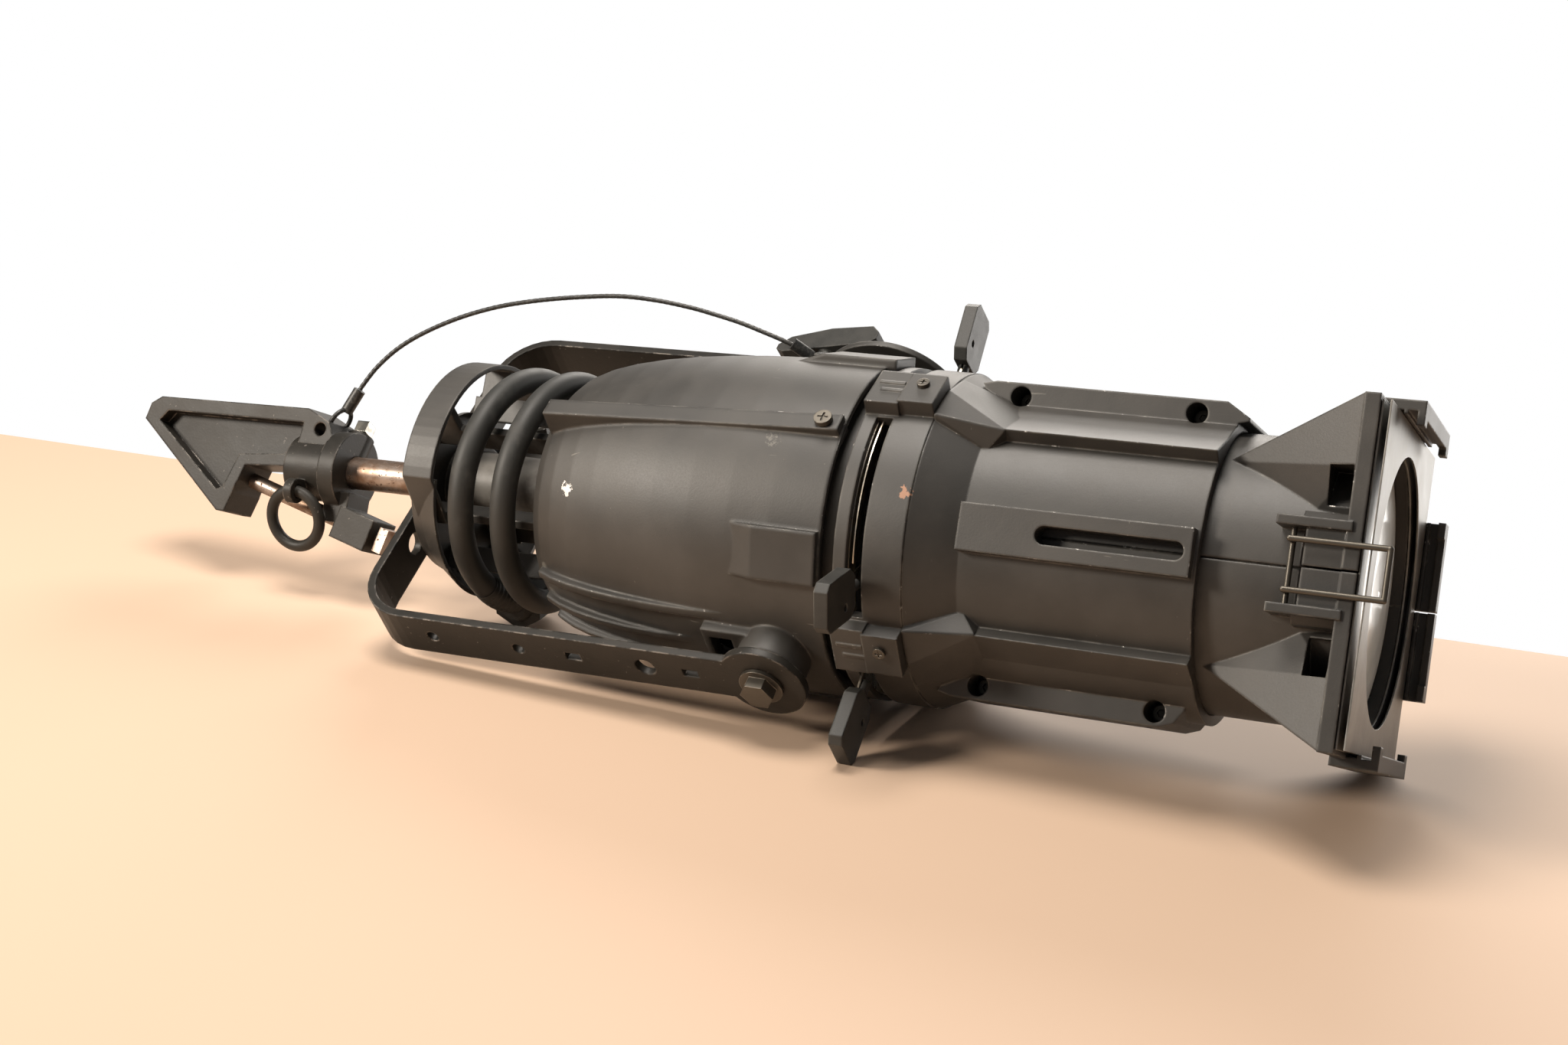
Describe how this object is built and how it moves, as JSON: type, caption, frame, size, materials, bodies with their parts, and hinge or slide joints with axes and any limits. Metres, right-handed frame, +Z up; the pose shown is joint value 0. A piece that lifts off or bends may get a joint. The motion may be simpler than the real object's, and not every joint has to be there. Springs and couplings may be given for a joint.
{
  "type": "profile spotlight",
  "caption": "Theatre profile spotlight with adjustable shutters, yoke, hook clamp, safety cable and wound power lead, lying on its side.",
  "frame": {"origin": "centre of the footprint of everything but the lead, at table height, with the lantern lying on its side as in the picture", "axes": "+X towards the lens end, along the table; +Z up from the table"},
  "size_m": [0.8467, 0.2691, 0.2361],
  "materials": {
    "housing_paint": "satin black, worn",
    "grip_plastic": "matte black",
    "zinc": "zinc plated",
    "bare_steel": "bare, browned",
    "blade_steel": "bright",
    "lead_rubber": "matte",
    "black_steel": "semi-gloss black",
    "ceramic": "light grey glazed ceramic",
    "lens_glass": "clear",
    "reflector_glass": "faceted mirror",
    "rope": "black coated wire rope",
    "frame_steel": "dull grey"
  },
  "bodies": {
    "lantern": {"reflector_housing": "housing_paint", "housing_screws": "zinc", "reflector": "reflector_glass", "lamp_cap": "housing_paint", "lamp_socket": "ceramic", "lamp": "lens_glass", "power_lead": "lead_rubber", "plug": "lead_rubber", "near_pivot_bolt": "zinc", "far_pivot_bolt": "zinc", "pivot_washers": "grip_plastic", "tilt_disc": "housing_paint"},
    "centring": {"centring_knob": "grip_plastic"},
    "barrel": {"gate_ring": "housing_paint", "bridge_screws": "zinc", "barrel_top": "housing_paint", "barrel_bottom": "housing_paint", "barrel_screws": "zinc"},
    "shutter_top": {"top_shutter": "blade_steel", "top_grip": "grip_plastic"},
    "shutter_right": {"right_shutter": "blade_steel", "right_grip": "grip_plastic"},
    "shutter_left": {"left_shutter": "blade_steel", "left_grip": "grip_plastic"},
    "shutter_bottom": {"bottom_shutter": "blade_steel", "bottom_grip": "grip_plastic"},
    "lens_tube": {"lens_tube_left": "housing_paint", "lens_tube_right": "housing_paint", "front_lens": "lens_glass", "rear_lens": "lens_glass", "lens_rings": "grip_plastic"},
    "focus": {"focus_knob": "grip_plastic"},
    "latch": {"latch_wire": "zinc"},
    "colour_frame": {"accessory_frame": "frame_steel"},
    "yoke": {"yoke": "black_steel", "clamp_shoe": "grip_plastic", "spigot": "bare_steel", "spigot_nut": "zinc", "stud_ferrule": "rope", "safety_cable": "rope"},
    "tilt_lock": {"tee_handle": "grip_plastic"},
    "clamp": {"hook_clamp": "housing_paint", "clamp_ferrule": "rope"},
    "pan_lock": {"pan_screw": "zinc"},
    "pipe_bolt": {"pipe_bolt": "bare_steel"},
    "ring": {"safety_ring": "black_steel"}
  },
  "joints": [
    {"name": "lamp_centring", "type": "hinge", "parent": "lantern", "child": "centring", "pos_m": [-0.17644, 0.0067, 0.08803], "axis": [0.9986, 0, 0.0523], "range_deg": [-180, 180]},
    {"name": "barrel_turn", "type": "hinge", "parent": "lantern", "child": "barrel", "pos_m": [0.14312, 0.0067, 0.10478], "axis": [0.9986, 0, 0.0523], "range_deg": [-35, 25]},
    {"name": "shutter_top_slide", "type": "slide", "parent": "barrel", "child": "shutter_top", "axis": [0.0023, -0.999, -0.0436], "range_m": [-0.002, 0.026]},
    {"name": "shutter_right_slide", "type": "slide", "parent": "barrel", "child": "shutter_right", "axis": [0.034, -0.7604, -0.6486], "range_m": [-0.008, 0.0188]},
    {"name": "shutter_left_slide", "type": "slide", "parent": "barrel", "child": "shutter_left", "axis": [-0.0404, 0.6361, 0.7706], "range_m": [-0.008, 0.016]},
    {"name": "shutter_bottom_slide", "type": "slide", "parent": "barrel", "child": "shutter_bottom", "axis": [0.0258, 0.8704, -0.4917], "range_m": [-0.002, 0.026]},
    {"name": "focus_slide", "type": "slide", "parent": "barrel", "child": "lens_tube", "axis": [0.9986, 0, 0.0523], "range_m": [-0.0045, 0.058]},
    {"name": "focus_knob_turn", "type": "hinge", "parent": "lens_tube", "child": "focus", "pos_m": [0.24584, 0.09695, 0.07456], "axis": [0.0192, 0.9304, -0.366], "range_deg": [-90, 90]},
    {"name": "latch_turn", "type": "hinge", "parent": "lens_tube", "child": "latch", "pos_m": [0.36422, -0.07053, 0.14683], "axis": [0.0487, -0.3665, -0.9291], "range_deg": [0, 110]},
    {"name": "colour_frame_slide", "type": "slide", "parent": "lens_tube", "child": "colour_frame", "axis": [-0.0192, -0.9304, 0.366], "range_m": [0, 0.003]},
    {"name": "yoke_tilt", "type": "hinge", "parent": "lantern", "child": "yoke", "pos_m": [0.0832, 0.0067, 0.10164], "axis": [-0.0289, 0.8339, 0.5512], "range_deg": [-95, 95]},
    {"name": "tilt_lock_turn", "type": "hinge", "parent": "yoke", "child": "tilt_lock", "pos_m": [0.02621, 0.1122, 0.17489], "axis": [-0.0289, 0.8339, 0.5512], "range_deg": [-180, 180]},
    {"name": "clamp_pan", "type": "hinge", "parent": "yoke", "child": "clamp", "pos_m": [-0.28004, 0.0095, 0.07836], "axis": [0.9979, -0.0077, 0.064], "range_deg": [-170, 170]},
    {"name": "pan_lock_turn", "type": "hinge", "parent": "clamp", "child": "pan_lock", "pos_m": [-0.26626, 0.03079, 0.10031], "axis": [-0.0393, 0.7133, 0.6998], "range_deg": [-180, 180]},
    {"name": "bolt_slide", "type": "slide", "parent": "clamp", "child": "pipe_bolt", "axis": [0.9793, -0.1011, -0.1754], "range_m": [0, 0.028]},
    {"name": "ring_swing", "type": "hinge", "parent": "clamp", "child": "ring", "pos_m": [-0.28475, -0.01938, 0.07009], "axis": [0.9979, -0.0077, 0.064], "range_deg": [-90, 4]}
  ]
}
